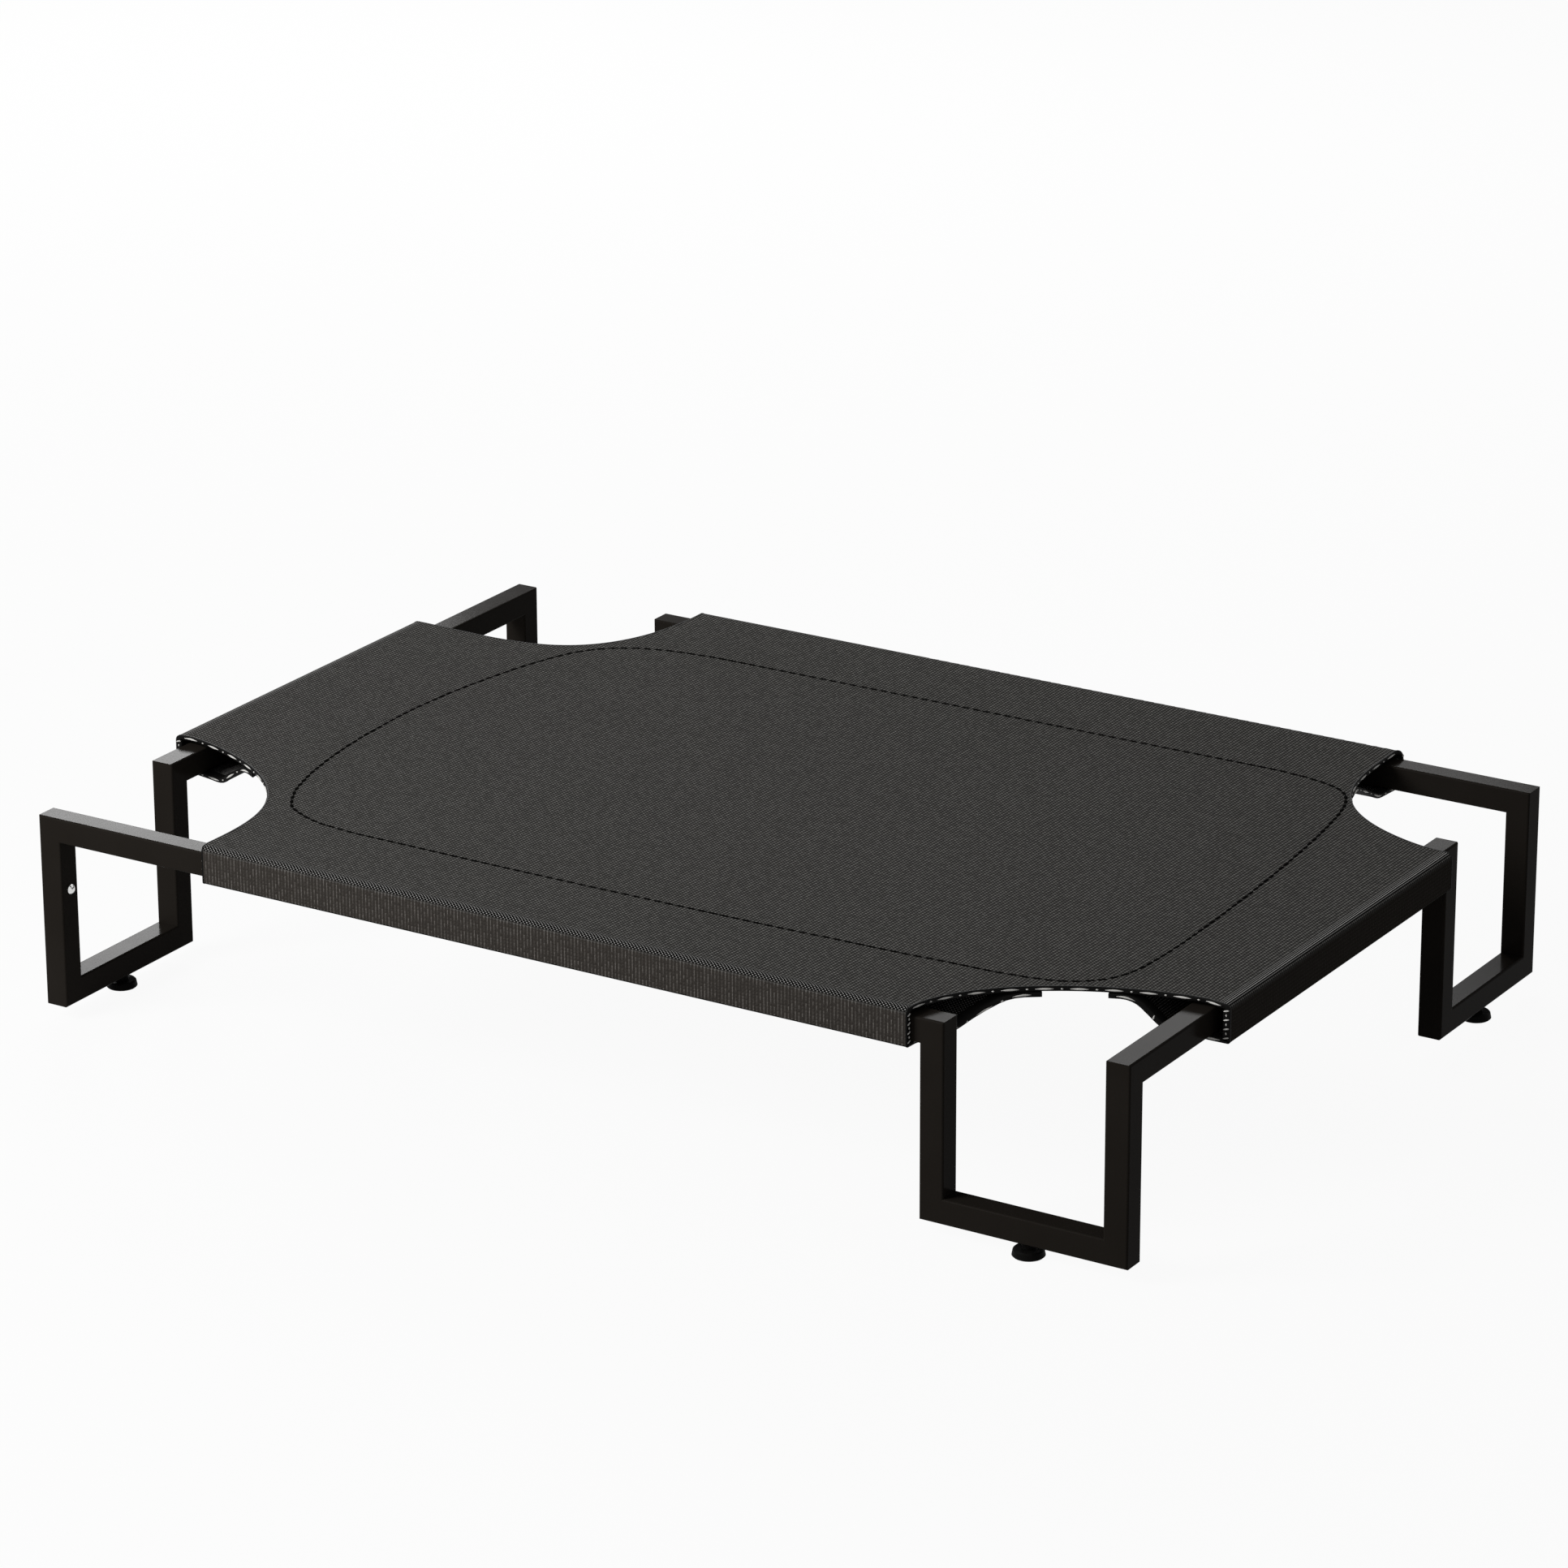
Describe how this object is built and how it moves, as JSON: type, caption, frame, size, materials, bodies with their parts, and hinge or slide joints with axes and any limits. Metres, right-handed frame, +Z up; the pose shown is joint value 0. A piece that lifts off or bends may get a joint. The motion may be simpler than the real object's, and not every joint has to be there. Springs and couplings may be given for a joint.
{
  "type": "raised pet cot",
  "caption": "Raised pet cot: a flat mesh sling sleeved onto a black square-tube frame that stands on locked leg frames with levelling feet.",
  "frame": {"origin": "on the floor, under the middle of the frame", "axes": "+X along the long side, +Y towards the back, +Z up"},
  "size_m": [1.216, 0.836, 0.2192],
  "materials": {
    "powder_coat": "fine matt black powder coat",
    "sling_mesh": "woven coated mesh, charcoal",
    "button_steel": "polished zinc plate",
    "bare_steel": "zinc plate",
    "foot_plastic": "moulded black plastic"
  },
  "bodies": {
    "root": {"front_rail": "powder_coat", "right_rail": "powder_coat", "back_rail": "powder_coat", "left_rail": "powder_coat", "front_left_corner_drop": "powder_coat", "front_left_inner_drop": "powder_coat", "front_left_corner_upright": "powder_coat", "front_left_inner_upright": "powder_coat", "front_left_foot_bar": "powder_coat", "front_left_corner_spigot": "bare_steel", "front_left_inner_spigot": "bare_steel", "front_left_snap_spring": "bare_steel", "front_left_foot_nut": "bare_steel", "front_right_corner_drop": "powder_coat", "front_right_inner_drop": "powder_coat", "front_right_corner_upright": "powder_coat", "front_right_inner_upright": "powder_coat", "front_right_foot_bar": "powder_coat", "front_right_corner_spigot": "bare_steel", "front_right_inner_spigot": "bare_steel", "front_right_snap_spring": "bare_steel", "front_right_foot_nut": "bare_steel", "back_right_corner_drop": "powder_coat", "back_right_inner_drop": "powder_coat", "back_right_corner_upright": "powder_coat", "back_right_inner_upright": "powder_coat", "back_right_foot_bar": "powder_coat", "back_right_corner_spigot": "bare_steel", "back_right_inner_spigot": "bare_steel", "back_right_snap_spring": "bare_steel", "back_right_foot_nut": "bare_steel", "back_left_corner_drop": "powder_coat", "back_left_inner_drop": "powder_coat", "back_left_corner_upright": "powder_coat", "back_left_inner_upright": "powder_coat", "back_left_foot_bar": "powder_coat", "back_left_corner_spigot": "bare_steel", "back_left_inner_spigot": "bare_steel", "back_left_snap_spring": "bare_steel", "back_left_foot_nut": "bare_steel", "sleeping_panel": "sling_mesh", "front_sleeve": "sling_mesh", "right_sleeve": "sling_mesh", "back_sleeve": "sling_mesh", "left_sleeve": "sling_mesh"},
    "front_left_button": {"front_left_snap_button": "button_steel"},
    "front_left_stem": {"front_left_foot_stem": "bare_steel"},
    "front_left_pad": {"front_left_foot_pad": "foot_plastic"},
    "front_right_button": {"front_right_snap_button": "button_steel"},
    "front_right_stem": {"front_right_foot_stem": "bare_steel"},
    "front_right_pad": {"front_right_foot_pad": "foot_plastic"},
    "back_right_button": {"back_right_snap_button": "button_steel"},
    "back_right_stem": {"back_right_foot_stem": "bare_steel"},
    "back_right_pad": {"back_right_foot_pad": "foot_plastic"},
    "back_left_button": {"back_left_snap_button": "button_steel"},
    "back_left_stem": {"back_left_foot_stem": "bare_steel"},
    "back_left_pad": {"back_left_foot_pad": "foot_plastic"}
  },
  "joints": [
    {"name": "front_left_button_press", "type": "slide", "parent": "root", "child": "front_left_button", "axis": [-1, 0, 0], "range_m": [0, 0.0064], "stiffness_N_per_m": 2000, "springref_m": -0.003, "deforming": ["front_left_snap_spring"]},
    {"name": "front_left_foot_lift", "type": "slide", "parent": "root", "child": "front_left_stem", "axis": [0, 0, -1], "range_m": [0, 0.01]},
    {"name": "front_left_foot_turn", "type": "hinge", "parent": "front_left_stem", "child": "front_left_pad", "pos_m": [-0.5925, -0.312, 0], "axis": [0, 0, -1], "range_deg": [0, 2880]},
    {"name": "front_right_button_press", "type": "slide", "parent": "root", "child": "front_right_button", "axis": [0, -1, 0], "range_m": [0, 0.0064], "stiffness_N_per_m": 2000, "springref_m": -0.003, "deforming": ["front_right_snap_spring"]},
    {"name": "front_right_foot_lift", "type": "slide", "parent": "root", "child": "front_right_stem", "axis": [0, 0, -1], "range_m": [0, 0.01]},
    {"name": "front_right_foot_turn", "type": "hinge", "parent": "front_right_stem", "child": "front_right_pad", "pos_m": [0.4975, -0.4025, 0], "axis": [0, 0, -1], "range_deg": [0, 2880]},
    {"name": "back_right_button_press", "type": "slide", "parent": "root", "child": "back_right_button", "axis": [1, 0, 0], "range_m": [0, 0.0064], "stiffness_N_per_m": 2000, "springref_m": -0.003, "deforming": ["back_right_snap_spring"]},
    {"name": "back_right_foot_lift", "type": "slide", "parent": "root", "child": "back_right_stem", "axis": [0, 0, -1], "range_m": [0, 0.01]},
    {"name": "back_right_foot_turn", "type": "hinge", "parent": "back_right_stem", "child": "back_right_pad", "pos_m": [0.5925, 0.312, 0], "axis": [0, 0, -1], "range_deg": [0, 2880]},
    {"name": "back_left_button_press", "type": "slide", "parent": "root", "child": "back_left_button", "axis": [0, 1, 0], "range_m": [0, 0.0064], "stiffness_N_per_m": 2000, "springref_m": -0.003, "deforming": ["back_left_snap_spring"]},
    {"name": "back_left_foot_lift", "type": "slide", "parent": "root", "child": "back_left_stem", "axis": [0, 0, -1], "range_m": [0, 0.01]},
    {"name": "back_left_foot_turn", "type": "hinge", "parent": "back_left_stem", "child": "back_left_pad", "pos_m": [-0.4975, 0.4025, 0], "axis": [0, 0, -1], "range_deg": [0, 2880]}
  ],
  "couplings": [
    {"joint": "front_left_foot_lift", "follows": "front_left_foot_turn", "m_per_rad": 0.00019894},
    {"joint": "front_right_foot_lift", "follows": "front_right_foot_turn", "m_per_rad": 0.00019894},
    {"joint": "back_right_foot_lift", "follows": "back_right_foot_turn", "m_per_rad": 0.00019894},
    {"joint": "back_left_foot_lift", "follows": "back_left_foot_turn", "m_per_rad": 0.00019894}
  ]
}
